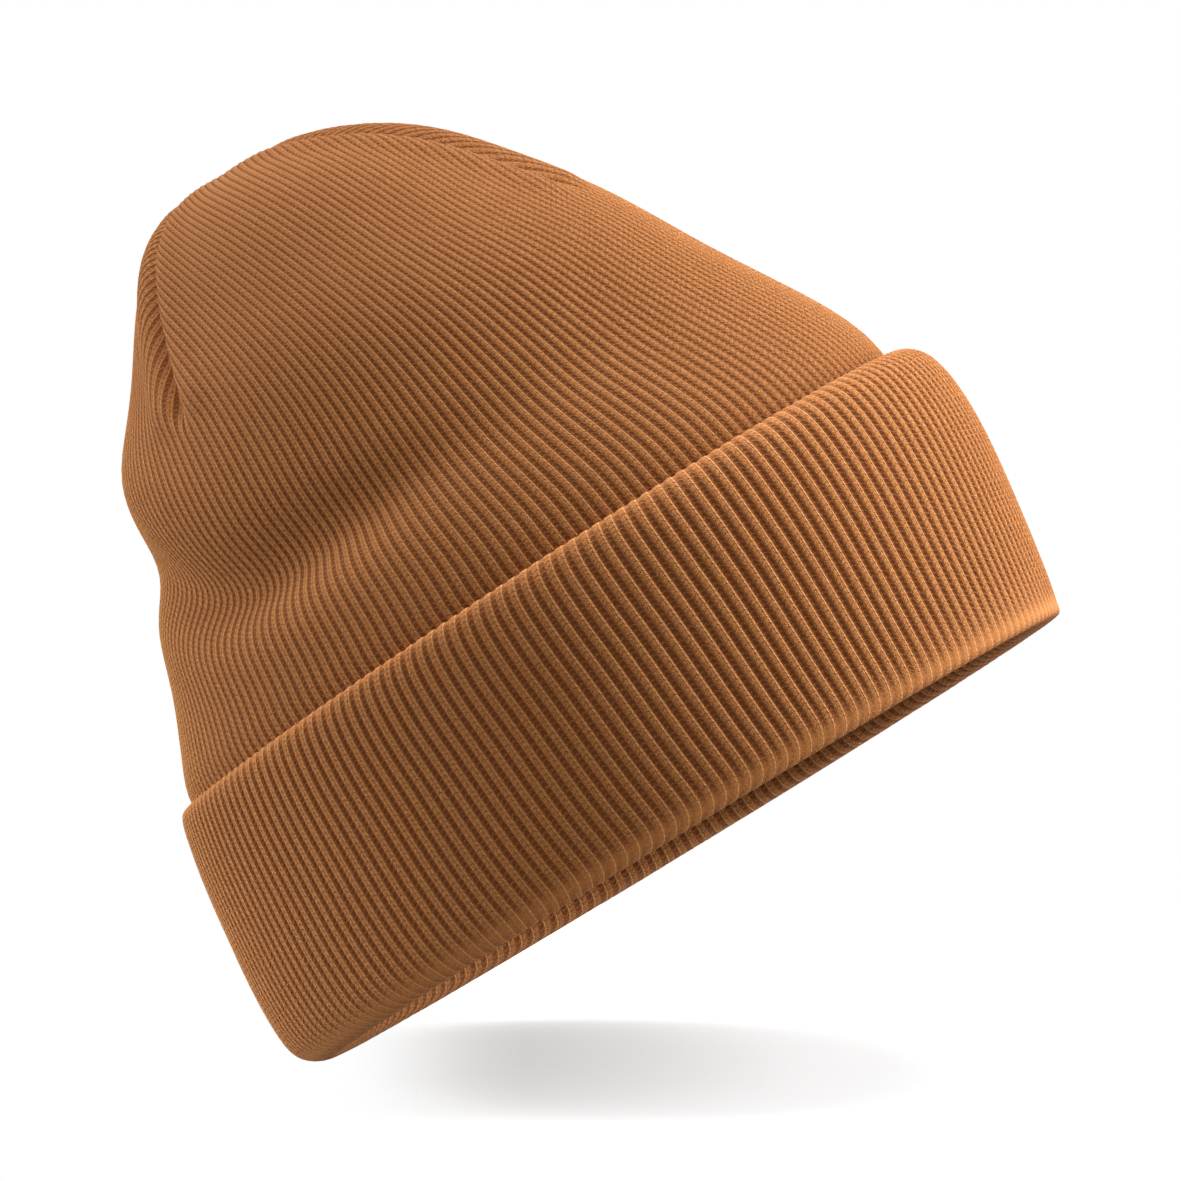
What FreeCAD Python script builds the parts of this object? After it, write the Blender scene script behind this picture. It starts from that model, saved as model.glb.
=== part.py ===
import FreeCAD, Part
import math
import os

# Cuffed double-layer rib-knit hat, millimetres.
# Own frame: +Z up from the rim to the crown, +X to the wearer's left,
# -Y is the front, and the origin is the centre of the head opening on the
# plane that the hat stands on.
#
# The fabric is one long knitted tube with both ends darted shut. One half is
# pushed inside the other, and the bottom is turned up to make the cuff, so
# the tube is divided here at its folds: lining, outer shell, the two turns
# under the rim, the two plies of the cuff and the fold at the cuff's top.

# --- driving sizes -------------------------------------------------------
hat_height = 189.0          # rim plane to the top of the crown
shell_half_width = 96.0     # outer ply beside the cuff, measured along X
depth_ratio = 0.96          # front-to-back size divided by side-to-side size
cuff_height = 70.0          # rim plane to the top of the turned-up cuff
cuff_half_width = 105.0     # widest point of the cuff, measured along X
cuff_bulge = 1.5            # how far the cuff's middle stands out past its ends
ply = 2.2                   # thickness of one layer of rib knit

# --- clearances ----------------------------------------------------------
ply_gap = 0.6               # air between the shell and the lining at the side
slide_gap = 1.0             # between the shell and the cuff it slides out of
turn_gap = 0.2              # between the two nested turns under the rim
lift_gap = 0.4              # between the crown plies and the turns below them
sewn_gap = 0.15             # seam allowance to the ply that it is sewn on
seam_air = 0.6              # between one crown's seams and the other crown

# --- crown ---------------------------------------------------------------
lean_x = -0.085             # sideways lean of the crown, per mm of height
lean_y = 0.100              # backward lean of the crown, per mm of height
dart_count = 3              # darts that close each end of the tube
shell_dart_angle = -56.0    # first shell dart, degrees from the front
lining_dart_angle = 4.0     # first lining dart, degrees from the front
dart_depth = 0.415          # part of the crown's height that the darts take
seam_width = 2.6            # two edges of knit held together
seam_depth = 1.8            # how far the seam allowance stands off its ply
thread_size = 0.6           # overlock thread round the seam allowance
tack_radius = 1.6           # thread tack that ties the two crowns together

# --- rim -----------------------------------------------------------------
rim_leg = 6.0               # height of the turn's legs under the two plies
rim_round = 4.0             # rounding of the outer turn
rim_trim = 0.02             # taken off the fold's underside to make it flat

# Silhouette of the crown above the cuff: (share of width, share of height).
crown_profile = (
    (1.000, 0.000),
    (0.941, 0.152),
    (0.848, 0.303),
    (0.765, 0.440),
    (0.668, 0.604),
    (0.545, 0.745),
    (0.440, 0.850),
    (0.290, 0.945),
    (0.000, 1.000),
)

side_height = cuff_height - 4.0         # where the straight side ends
lining_outer = shell_half_width - ply - ply_gap
lining_inner = lining_outer - ply
cuff_inner = shell_half_width + slide_gap
cuff_outer = cuff_half_width - cuff_bulge
fold_radius = (cuff_outer - cuff_inner) / 2.0
fold_height = cuff_height - fold_radius
seam_room = seam_depth + thread_size + 2.0 * sewn_gap + seam_air
crown_extra = seam_room - ply_gap
lining_top = hat_height - ply - seam_room
nest_inner = slide_gap / 2.0
nest_outer = nest_inner + ply
nest_height = ply + turn_gap + nest_outer
nest_centre = shell_half_width + nest_inner

up = FreeCAD.Vector(0, 0, 1)
origin = FreeCAD.Vector(0, 0, 0)
os.makedirs("parts", exist_ok=True)


def point(radius, height):
    return FreeCAD.Vector(radius, 0, height)


def line(a, b):
    return Part.LineSegment(a, b).toShape()


def spin(edges):
    """Turn a closed outline once round the hat's axis."""
    wire = Part.Wire(Part.__sortEdges__(edges))
    solid = Part.Face(wire).revolve(origin, up, 360)
    if solid.Volume < 0:
        solid.reverse()
    return solid


def ring(inner, outer, bottom, top):
    """A straight band of fabric between two radii and two heights."""
    a = point(inner, bottom)
    b = point(outer, bottom)
    c = point(outer, top)
    d = point(inner, top)
    return spin([line(a, b), line(b, c), line(c, d), line(d, a)])


def crown_curve(half_width, top):
    """The crown's silhouette from the straight side up to the axis."""
    rise = top - side_height
    points = []
    for width_share, height_share in crown_profile:
        points.append(point(half_width * width_share, side_height + rise * height_share))
    curve = Part.BSplineCurve()
    curve.interpolate(
        Points=points,
        InitialTangent=FreeCAD.Vector(0, 0, 1),
        FinalTangent=FreeCAD.Vector(-1, 0, 0),
    )
    return curve


def inset(curve, distance, crown_extra=0.0):
    """The same silhouette moved into the fabric by a distance.

    crown_extra is added by the time the crown is half way up, and the change
    is smooth."""
    first = curve.FirstParameter
    last = curve.LastParameter
    steps = 40
    points = []
    for i in range(steps + 1):
        u = first + (last - first) * i / steps
        on_curve = curve.value(u)
        along = curve.tangent(u)[0]
        inward = FreeCAD.Vector(-along.z, 0, along.x)
        share = min(1.0, 2.0 * (on_curve.z - side_height) / (hat_height - side_height))
        ramp = share * share * (3.0 - 2.0 * share)
        points.append(on_curve + inward * (distance + crown_extra * ramp))
    points[0] = point(curve.StartPoint.x - distance, side_height)
    points[-1] = point(0.0, curve.EndPoint.z - distance - crown_extra)
    moved = Part.BSplineCurve()
    moved.interpolate(points)
    return moved


def dome(curve, near, far):
    """A skin between two insets of one silhouette, open at the side height."""
    outer = inset(curve, near)
    inner = inset(curve, far)
    foot = line(outer.StartPoint, inner.StartPoint)
    top = line(inner.EndPoint, outer.EndPoint)
    return spin([outer.toShape(), top, inner.toShape(), foot])


def oval(shape):
    """Flatten a round shape front to back."""
    matrix = FreeCAD.Matrix(
        1, 0, 0, 0,
        0, depth_ratio, 0, 0,
        0, 0, 1, 0,
        0, 0, 0, 1,
    )
    return shape.transformGeometry(matrix)


def lean(shape):
    """Flatten a crown shape and lean it from the side height up."""
    matrix = FreeCAD.Matrix(
        1, 0, lean_x, -lean_x * side_height,
        0, depth_ratio, lean_y, -lean_y * side_height,
        0, 0, 1, 0,
        0, 0, 0, 1,
    )
    return shape.transformGeometry(matrix)


def save(shape, name):
    solid = shape
    if shape.ShapeType != "Solid":
        solid = shape.Solids[0]
    if len(shape.Solids) != 1 or not solid.isValid():
        raise ValueError(name + " is not one sound solid")
    solid.exportStep("parts/" + name + ".step")
    print(name, round(solid.Volume), "mm3")


def where(curve, wanted, measure):
    """The place along the silhouette where a falling measure reaches a value."""
    low = curve.FirstParameter
    high = curve.LastParameter
    for _ in range(40):
        middle = (low + high) / 2.0
        if measure(curve.value(middle)) > wanted:
            low = middle
        else:
            high = middle
    return low


def run_of_seam(curve, distance, tip):
    """The silhouette from a dart's tip nearly to the axis, moved in by a distance."""
    first = where(curve, -tip, lambda spot: -spot.z)
    last = where(curve, seam_start, lambda spot: spot.x)
    steps = 16
    points = []
    for i in range(steps + 1):
        u = first + (last - first) * i / steps
        along = curve.tangent(u)[0]
        inward = FreeCAD.Vector(-along.z, 0, along.x)
        points.append(curve.value(u) + inward * distance)
    run = Part.BSplineCurve()
    run.interpolate(points)
    return run


def ridge(curve, near, far, tip, width, angle):
    """A thin upright ridge along a dart, at an angle from the front."""
    a = run_of_seam(curve, near, tip)
    b = run_of_seam(curve, far, tip)
    ends = [line(a.StartPoint, b.StartPoint), line(a.EndPoint, b.EndPoint)]
    wire = Part.Wire(Part.__sortEdges__([a.toShape(), b.toShape()] + ends))
    solid = Part.Face(wire).extrude(FreeCAD.Vector(0, width, 0))
    solid.translate(FreeCAD.Vector(0, -width / 2.0, 0))
    solid.rotate(origin, up, angle - 90.0)
    return solid


# --- the two crown plies, which lift out of the cuff as it is unrolled ---
shell_curve = crown_curve(shell_half_width, hat_height)
lining_curve = inset(shell_curve, ply + ply_gap, crown_extra)

shell_foot = nest_height + lift_gap
shell_side = oval(ring(shell_half_width - ply, shell_half_width, shell_foot, side_height))
shell_top = lean(dome(shell_curve, 0.0, ply))
save(shell_side.fuse(shell_top), "outer_shell")

lining_foot = rim_leg + lift_gap
lining_side = oval(ring(lining_inner, lining_outer, lining_foot, side_height))
lining_crown = lean(dome(lining_curve, 0.0, ply))
save(lining_side.fuse(lining_crown), "lining")

# --- dart seams: the two cut edges stand in the air between the plies ----
# The shell's seams hang under the shell. The lining is the other way out, so
# its seams stand on top of it, midway between the shell's.
seam_start = tack_radius + seam_width
shell_tip = hat_height - dart_depth * (hat_height - side_height)
lining_tip = shell_tip - seam_room


def names_for(first_angle):
    """Name each dart by the way it faces."""
    names = []
    for k in range(dart_count):
        angle = (first_angle + k * 360.0 / dart_count) % 360.0
        if angle < 45.0 or angle >= 315.0:
            names.append("front")
        elif angle < 135.0:
            names.append("left")
        elif angle < 225.0:
            names.append("back")
        else:
            names.append("right")
    return names


def dart_seams(curve, first_angle, tip, side, label):
    """The seam allowance and the overlock thread of every dart in one crown."""
    edge = sewn_gap
    if side > 0:
        edge = ply + sewn_gap
    near = side * edge
    far = side * (edge + seam_depth)
    cap = far + side * sewn_gap
    cover = cap + side * thread_size
    for k, facing in enumerate(names_for(first_angle)):
        angle = first_angle + k * 360.0 / dart_count
        allowance = ridge(curve, near, far, tip, seam_width, angle)
        save(lean(allowance), label + "_dart_seam_" + facing)
        thread = ridge(curve, cap, cover, tip, seam_width * 0.6, angle)
        save(lean(thread), label + "_overlock_thread_" + facing)


dart_seams(shell_curve, shell_dart_angle, shell_tip, 1, "shell")
dart_seams(lining_curve, lining_dart_angle, lining_tip, -1, "lining")

# --- the tack that ties the two crowns together at the top ---------------
tack_bottom = lining_top + sewn_gap
tack_top = hat_height - ply - sewn_gap
tack = Part.makeCylinder(tack_radius, tack_top - tack_bottom, point(0, tack_bottom))
save(lean(tack), "crown_tack")

# --- the rim: two nested turns, the outer one is what the hat stands on ---
outer_leg = cuff_outer - ply
turn = ring(lining_inner, cuff_outer, 0.0, rim_leg)
hollow = ring(lining_outer, outer_leg, ply, rim_leg + 1.0)


def rounded_at(shape, height, radius):
    """Round the circular edges of a ring that lie at one height."""
    edges = []
    for edge in shape.Edges:
        flat = abs(edge.BoundBox.ZMin - height) < 0.001 and abs(edge.BoundBox.ZMax - height) < 0.001
        if flat and edge.Closed:
            edges.append(edge)
    return shape.makeFillet(radius, edges)


turn = rounded_at(turn, 0.0, rim_round)
hollow = rounded_at(hollow, ply, rim_round - ply)
rim_turn = oval(turn.cut(hollow))
# The hat stands on this fold, so its underside is trimmed to a true plane.
rim_turn.translate(FreeCAD.Vector(0, 0, -rim_trim))
reach = 2.0 * cuff_half_width
corner = FreeCAD.Vector(-reach, -reach, -rim_round)
rim_turn = rim_turn.cut(Part.makeBox(2.0 * reach, 2.0 * reach, rim_round, corner))
save(rim_turn, "rim_outer_turn")


def half_ring(centre, height, inner, outer, way):
    """A fold: half of a round tube wall, turned round the axis. way is 1 up, -1 down."""
    edges = []
    for radius in (inner, outer):
        left = point(centre - radius, height)
        peak = point(centre, height + way * radius)
        right = point(centre + radius, height)
        edges.append(Part.Arc(left, peak, right).toShape())
    edges.append(line(point(centre - outer, height), point(centre - inner, height)))
    edges.append(line(point(centre + inner, height), point(centre + outer, height)))
    return spin(edges)


save(oval(half_ring(nest_centre, nest_height, nest_inner, nest_outer, -1)), "rim_inner_turn")

# --- the cuff's two plies and the fold that joins them at the top --------
inner_ply = ring(cuff_inner, cuff_inner + ply, nest_height, fold_height)
save(oval(inner_ply), "cuff_inner_ply")


def bowed(radius, bulge, bottom, top):
    """An upright line of fabric that stands out at its middle."""
    middle = point(radius + bulge, (bottom + top) / 2.0)
    return Part.Arc(point(radius, bottom), middle, point(radius, top)).toShape()


outer_face = bowed(cuff_outer, cuff_bulge, rim_leg, fold_height)
inner_face = bowed(cuff_outer - ply, cuff_bulge, rim_leg, fold_height)
foot = line(point(cuff_outer - ply, rim_leg), point(cuff_outer, rim_leg))
head = line(point(cuff_outer - ply, fold_height), point(cuff_outer, fold_height))
save(oval(spin([outer_face, inner_face, foot, head])), "cuff_outer_ply")

fold_centre = (cuff_outer + cuff_inner) / 2.0
fold_inner = fold_radius - ply
save(oval(half_ring(fold_centre, fold_height, fold_inner, fold_radius, 1)), "cuff_top_fold")
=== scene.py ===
# %% [markdown]
# # A ribbed knitted hat with a turned-up cuff
# The hat is one soft tube of 1 by 1 rib knit. It stands as it does on a head: a deep cuff is turned up round the
# opening, and the crown is closed by three darts that run up to the top. This lesson builds each piece of cloth as
# its own mesh, rib by rib, and then gives it a stitch pattern in the material.
#
# First comes the fixed frame from the CAD model. Every size below starts from its boxes, and lengths are in
# millimetres until a mesh is made.

# %% The frame and the sizes taken from it
import math

import bpy
import numpy as np
from mathutils import Matrix, Vector


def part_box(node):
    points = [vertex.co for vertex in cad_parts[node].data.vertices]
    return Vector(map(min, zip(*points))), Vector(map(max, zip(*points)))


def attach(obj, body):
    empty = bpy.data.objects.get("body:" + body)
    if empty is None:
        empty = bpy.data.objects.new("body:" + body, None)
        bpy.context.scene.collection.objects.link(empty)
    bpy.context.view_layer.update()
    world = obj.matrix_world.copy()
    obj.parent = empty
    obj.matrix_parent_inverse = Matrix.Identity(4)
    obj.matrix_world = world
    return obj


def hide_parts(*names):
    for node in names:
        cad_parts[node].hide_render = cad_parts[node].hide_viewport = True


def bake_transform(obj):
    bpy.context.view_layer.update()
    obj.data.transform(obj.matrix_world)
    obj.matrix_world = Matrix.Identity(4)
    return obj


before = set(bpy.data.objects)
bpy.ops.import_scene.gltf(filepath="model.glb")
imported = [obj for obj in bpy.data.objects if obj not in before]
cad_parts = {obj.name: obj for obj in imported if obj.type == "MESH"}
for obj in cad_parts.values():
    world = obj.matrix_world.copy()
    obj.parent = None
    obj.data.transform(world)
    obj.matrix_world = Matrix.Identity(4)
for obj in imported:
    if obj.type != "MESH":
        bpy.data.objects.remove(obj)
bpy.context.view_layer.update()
MM = 0.001
crown_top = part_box("outer_shell")[1].z / MM
cuff_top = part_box("cuff_top_fold")[1].z / MM
cuff_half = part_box("cuff_outer_ply")[1].x / MM
shell_half = cuff_half - 9.0
side_height = cuff_top - 4.0
PLY = 2.2
OVAL = 0.96
print("hat height", round(crown_top, 1), "cuff height", round(cuff_top, 1))
print("half widths, cuff and shell", round(cuff_half, 1), round(shell_half, 1))

# %% [markdown]
# ## Small tools
# Cloth has no straight lines, so most shapes here start as a few points and a smooth curve through them. A natural
# cubic spline does that: it is the line that a thin springy strip takes when it is held at the points. Blender's own
# curves could do it too, but here the values are needed as numbers, to place thousands of stitches.

# %% Smooth steps, bells and splines
RIBS = 177
PITCH_UP = 1.4


def ease(value, start, end):
    """0 before start, 1 after end and a smooth change between."""
    t = np.clip((value - start) / (end - start), 0.0, 1.0)
    return t * t * (3.0 - 2.0 * t)


def bell(value, width):
    """1 at 0, falling away over the width on both sides."""
    return np.exp(-((value / width) ** 2))


def springy(knots, values):
    """A natural cubic spline through a few values."""
    x = np.array(knots, float)
    y = np.array(values, float)
    n = len(x)
    h = np.diff(x)
    a = np.eye(n)
    b = np.zeros(n)
    for i in range(1, n - 1):
        a[i, i - 1 : i + 2] = h[i - 1], 2.0 * (h[i - 1] + h[i]), h[i]
        b[i] = 6.0 * ((y[i + 1] - y[i]) / h[i] - (y[i] - y[i - 1]) / h[i - 1])
    bend = np.linalg.solve(a, b)

    def at(t):
        t = np.clip(t, x[0], x[-1])
        i = np.clip(np.searchsorted(x, t) - 1, 0, n - 2)
        left = t - x[i]
        right = x[i + 1] - t
        curve = (bend[i] * right**3 + bend[i + 1] * left**3) / (6.0 * h[i])
        before = (y[i] / h[i] - bend[i] * h[i] / 6.0) * right
        after = (y[i + 1] / h[i] - bend[i + 1] * h[i] / 6.0) * left
        return curve + before + after

    return at


# %% A line of cloth, measured along its own length
class Line:
    """A smooth line of cloth in the upright plane: radius and height at each distance along it."""

    def __init__(self, points):
        points = np.array(points, float)
        knots = np.concatenate([[0.0], np.cumsum(np.linalg.norm(np.diff(points, axis=0), axis=1))])
        radius = springy(knots, points[:, 0])
        height = springy(knots, points[:, 1])
        t = np.linspace(0.0, knots[-1], 4000)
        self.fill(radius(t), height(t))

    def fill(self, r, z):
        self.s = np.concatenate([[0.0], np.cumsum(np.hypot(np.diff(r), np.diff(z)))])
        self.r = r
        self.z = z
        self.tr = np.gradient(r, self.s)
        self.tz = np.gradient(z, self.s)

    def at(self, s):
        """Radius, height and the direction square to the cloth on its face side."""
        r = np.interp(s, self.s, self.r)
        z = np.interp(s, self.s, self.z)
        a = np.interp(s, self.s, self.tz)
        b = -np.interp(s, self.s, self.tr)
        size = np.maximum(np.hypot(a, b), 1e-9)
        return r, z, a / size, b / size


def place(r, z, phi, middle_x=0.0, middle_y=0.0):
    """The point at an angle phi from the front, going towards the wearer's left."""
    return np.stack([middle_x + r * np.sin(phi), middle_y - OVAL * r * np.cos(phi), z + 0.0 * phi], axis=-1)


# %% [markdown]
# ## One rib
# In 1 by 1 rib, columns of face stitches stand up as round cords and the columns between them sink in. The cords are
# real relief, about half a millimetre deep, so they are made in the mesh: they have to show on the outline and cast
# shadow in the hollows. The stitches on them are too small for that and come later, in the material.

# %% The relief of a rib
def cord_height(u):
    """1 on the top of a cord and 0 in the hollow, across one rib of width 1."""
    x = np.abs(np.mod(u, 1.0) - 0.5)
    return ease(0.37 - x, 0.0, 0.17) - 0.06 * bell(x, 0.06)


chance = np.random.default_rng(7)


def uneven(rows, columns, size):
    """Hand-sized unevenness: a few slow waves and a little stitch by stitch."""
    a = np.linspace(0.0, 2.0 * math.pi, columns, endpoint=False)[None, :]
    b = np.linspace(0.0, 1.0, rows)[:, None]
    total = np.zeros((rows, columns))
    for n in (3, 5, 8, 13, 21, 34):
        turn, climb, grow = chance.uniform(0, 6.28), chance.uniform(-9, 9), chance.uniform(0.5, 1.0)
        total += grow * np.sin(n * a + climb * b + turn)
    return size * (total / 3.0 + 0.35 * chance.normal(size=(rows, columns)))


# %% [markdown]
# ## From grids of points to a piece of cloth
# Every ply is made the same way: a grid of points for its face, a coarser grid for its back, and a narrow band that
# closes it at its ends, so that it is a thin solid like the real cloth. Each corner also gets two numbers in a UV map
# named knit: across, the number of the rib, and up, the number of the stitch. The material reads those, so stitches
# follow the cloth wherever it bends.

# %% Making one ply
def neat_faces(quads, marks):
    """Four-cornered faces as lists, with corners that fell together made one."""
    same = quads == np.roll(quads, -1, axis=1)
    whole = ~same.any(1)
    faces = quads[whole].tolist()
    corners = [marks[whole].reshape(-1, 2)]
    for quad, mark, gone in zip(quads[~whole], marks[~whole], same[~whole]):
        kept = quad[~gone]
        if len(kept) >= 3 and len(set(kept.tolist())) == len(kept):
            faces.append(kept.tolist())
            corners.append(mark[~gone])
    return faces, np.concatenate(corners)


def grid_faces(ids, marks, flip):
    """Faces between neighbouring rows and columns. ids and marks hold one more column, to close the round."""
    def four(a):
        parts = [a[:-1, :-1], a[:-1, 1:], a[1:, 1:], a[1:, :-1]]
        if flip:
            parts = parts[::-1]
        return np.stack(parts, axis=2)

    quads = four(ids).reshape(-1, 4)
    return neat_faces(quads, four(marks).reshape(-1, 4, 2))


def end_band(front, back, step, flip):
    """Faces that close the cloth between the ends of its face and back grids."""
    faces = []
    for j in range(len(back) - 1):
        run = front[j * step : (j + 1) * step + 1].tolist()
        face = run + [int(back[j + 1]), int(back[j])]
        faces.append(face[::-1] if flip else face)
    return faces


def new_piece(name, points, faces, corners, material, edges=()):
    """A mesh object from millimetres, with the knit map and sharp ends."""
    mesh = bpy.data.meshes.new(name)
    mesh.from_pydata((points * MM).tolist(), [], faces)
    mesh.polygons.foreach_set("use_smooth", [True] * len(mesh.polygons))
    knit = mesh.uv_layers.new(name="knit")
    knit.data.foreach_set("uv", corners.astype(np.float32).ravel())
    if len(edges):
        ends = np.zeros(len(points), bool)
        ends[np.concatenate(edges)] = True
        pairs = np.zeros(len(mesh.edges) * 2, np.int32)
        mesh.edges.foreach_get("vertices", pairs)
        sharp = mesh.attributes.new("sharp_edge", "BOOLEAN", "EDGE")
        sharp.data.foreach_set("value", ends[pairs.reshape(-1, 2)].all(1))
    mesh.materials.append(material)
    thing = bpy.data.objects.new(name, mesh)
    bpy.context.scene.collection.objects.link(thing)
    return thing


def ply_piece(name, face, back, face_ids, back_ids, face_marks, back_marks, step, material, flip, close_top):
    """One ply from its two grids. The id grids say which points are shared."""
    closing = lambda a, first: np.concatenate([a, first], axis=1)
    f_ids = closing(face_ids, face_ids[:, :1])
    b_ids = closing(back_ids, back_ids[:, :1]) + len(face)
    faces, corners = grid_faces(f_ids, face_marks, flip)
    more, more_corners = grid_faces(b_ids, back_marks, not flip)
    bands = end_band(f_ids[0], b_ids[0], step, not flip)
    if close_top:
        bands += end_band(f_ids[-1], b_ids[-1], step, flip)
    ends = [f_ids[0], b_ids[0]] + ([f_ids[-1], b_ids[-1]] if close_top else [])
    band_corners = np.zeros((sum(len(b) for b in bands), 2))
    points = np.concatenate([face, back])
    all_corners = np.concatenate([corners, more_corners, band_corners])
    piece = new_piece(name, points, faces + more + bands, all_corners, material, ends)
    print(name, len(points), "points", len(faces) + len(more) + len(bands), "faces")
    return piece


RELAXED_RIB = 2.43


def cloth_area(piece):
    """The area in square metres that the ply's stitches cover when the knit lies relaxed, from the knit map."""
    mesh = piece.data
    marks = np.zeros(len(mesh.loops) * 2, np.float32)
    mesh.uv_layers["knit"].data.foreach_get("uv", marks)
    marks = marks.reshape(-1, 2)
    total = 0.0
    for p in mesh.polygons:
        m = marks[p.loop_start : p.loop_start + p.loop_total]
        total += abs(float(np.sum(m[:, 0] * np.roll(m[:, 1], -1) - np.roll(m[:, 0], -1) * m[:, 1]))) / 2.0
    return total / 2.0 * RELAXED_RIB * PITCH_UP * 1e-6


# %% [markdown]
# ## The stitch pattern
# Every knitted ply uses the same stitches, so the pattern is one node group that each material uses. On a cord, each
# stitch is a pair of legs that lean towards each other and meet in a fine line down the middle. In the hollow lie the
# small bars of the stitches that face the other way. The group only gives out masks and a height. Colour and shine are
# chosen in the materials.

# %% A helper for node sums
def node_sum(tree, operation, *values):
    """A Math node fed with numbers or with other nodes' outputs."""
    node = tree.nodes.new("ShaderNodeMath")
    node.operation = operation
    for socket, value in zip(node.inputs, values):
        if isinstance(value, (int, float)):
            socket.default_value = value
        else:
            tree.links.new(value, socket)
    return node.outputs[0]


def node_bell(tree, value, width):
    """1 where value is 0, falling away over the width."""
    scaled = node_sum(tree, "DIVIDE", value, width)
    square = node_sum(tree, "MULTIPLY", scaled, scaled)
    return node_sum(tree, "EXPONENT", node_sum(tree, "MULTIPLY", square, -1.0))


def node_ease(tree, value, low, high, out_low=0.0, out_high=1.0):
    """A smooth change from one number to another while value goes from low to high."""
    node = tree.nodes.new("ShaderNodeMapRange")
    node.interpolation_type = "SMOOTHSTEP"
    tree.links.new(value, node.inputs["Value"])
    for name, number in zip(("From Min", "From Max", "To Min", "To Max"), (low, high, out_low, out_high)):
        node.inputs[name].default_value = number
    return node.outputs["Result"]


def node_mix(tree, factor, a, b):
    """A colour mix. a and b are colours or outputs."""
    node = tree.nodes.new("ShaderNodeMix")
    node.data_type = "RGBA"
    tree.links.new(factor, node.inputs["Factor"])
    for socket, value in ((node.inputs[6], a), (node.inputs[7], b)):
        if isinstance(value, tuple):
            socket.default_value = (*value, 1.0)
        else:
            tree.links.new(value, socket)
    return node.outputs[2]


# %% The knit stitch group
def knit_stitch_group():
    group = bpy.data.node_groups.new("Knit stitch", "ShaderNodeTree")
    for name, default in (("Leg lean", 1.3), ("Gap depth", 0.40), ("Fibre", 1.1)):
        socket = group.interface.new_socket(name=name, in_out="INPUT", socket_type="NodeSocketFloat")
        socket.default_value = default
    for name in ("Height", "Cord", "Gap", "Bar", "Glint", "Fibre mask", "Row"):
        group.interface.new_socket(name=name, in_out="OUTPUT", socket_type="NodeSocketFloat")
    enter = group.nodes.new("NodeGroupInput")
    leave = group.nodes.new("NodeGroupOutput")
    marks = group.nodes.new("ShaderNodeUVMap")
    marks.uv_map = "knit"
    split = group.nodes.new("ShaderNodeSeparateXYZ")
    group.links.new(marks.outputs["UV"], split.inputs[0])
    across, up = split.outputs["X"], split.outputs["Y"]
    g = group

    wobble = g.nodes.new("ShaderNodeTexNoise")
    wobble.inputs["Scale"].default_value = 0.35
    wobble.inputs["Detail"].default_value = 1.0
    g.links.new(marks.outputs["UV"], wobble.inputs["Vector"])
    shift = node_sum(g, "MULTIPLY_ADD", wobble.outputs["Fac"], 1.4, up)
    side = node_sum(g, "SUBTRACT", node_sum(g, "FRACT", across), 0.5)
    x = node_sum(g, "ABSOLUTE", side)
    cord = node_ease(g, x, 0.22, 0.35, 1.0, 0.0)

    lean = node_sum(g, "MULTIPLY", x, enter.outputs["Leg lean"])
    phase = node_sum(g, "FRACT", node_sum(g, "ADD", shift, lean))
    near = node_sum(g, "MINIMUM", phase, node_sum(g, "SUBTRACT", 1.0, phase))
    gap = node_sum(g, "MULTIPLY", node_ease(g, near, 0.02, 0.24, 1.0, 0.0), cord)
    middle = node_bell(g, node_sum(g, "SUBTRACT", side, 0.085), 0.042)
    dots = node_ease(g, near, 0.05, 0.40, 1.0, 0.35)
    middle = node_sum(g, "MULTIPLY", middle, dots)

    hollow = node_sum(g, "SUBTRACT", 0.5, x)
    curl = node_sum(g, "MULTIPLY", node_sum(g, "MULTIPLY", hollow, hollow), 8.0)
    bar_phase = node_sum(g, "FRACT", node_sum(g, "ADD", node_sum(g, "ADD", shift, 0.5), curl))
    bar = node_bell(g, node_sum(g, "SUBTRACT", bar_phase, 0.5), 0.17)
    bar = node_sum(g, "MULTIPLY", bar, node_sum(g, "SUBTRACT", 1.0, cord))

    fibre = g.nodes.new("ShaderNodeTexNoise")
    fibre.inputs["Scale"].default_value = 1.0
    fibre.inputs["Detail"].default_value = 3.0
    stretch = g.nodes.new("ShaderNodeCombineXYZ")
    twist = node_sum(g, "MULTIPLY_ADD", x, -3.0, node_sum(g, "MULTIPLY", up, 4.5))
    g.links.new(node_sum(g, "MULTIPLY", across, 12.0), stretch.inputs["X"])
    g.links.new(twist, stretch.inputs["Y"])
    g.links.new(stretch.outputs[0], fibre.inputs["Vector"])
    strand = node_ease(g, fibre.outputs["Fac"], 0.30, 0.70)

    # A thin line along one side of each cord: a small ridge in the height, and a painted highlight in the finishes.
    glint = node_bell(g, node_sum(g, "SUBTRACT", side, 0.185), 0.050)
    glint = node_sum(g, "MULTIPLY", glint, node_sum(g, "MULTIPLY_ADD", gap, -0.35, 1.0))

    height = node_sum(g, "MULTIPLY_ADD", glint, 0.35, node_sum(g, "MULTIPLY", cord, 0.5))
    height = node_sum(g, "SUBTRACT", height, node_sum(g, "MULTIPLY", gap, enter.outputs["Gap depth"]))
    height = node_sum(g, "SUBTRACT", height, node_sum(g, "MULTIPLY", middle, 0.45))
    height = node_sum(g, "MULTIPLY_ADD", bar, 0.55, height)
    rough = node_sum(g, "MULTIPLY", node_sum(g, "SUBTRACT", strand, 0.5), enter.outputs["Fibre"])
    height = node_sum(g, "MULTIPLY_ADD", rough, 0.35, height)
    for name, value in (("Height", height), ("Cord", cord), ("Gap", node_sum(g, "MAXIMUM", gap, middle)),
                        ("Bar", bar), ("Glint", glint), ("Fibre mask", strand), ("Row", up)):
        g.links.new(value, leave.inputs[name])
    return group


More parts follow.
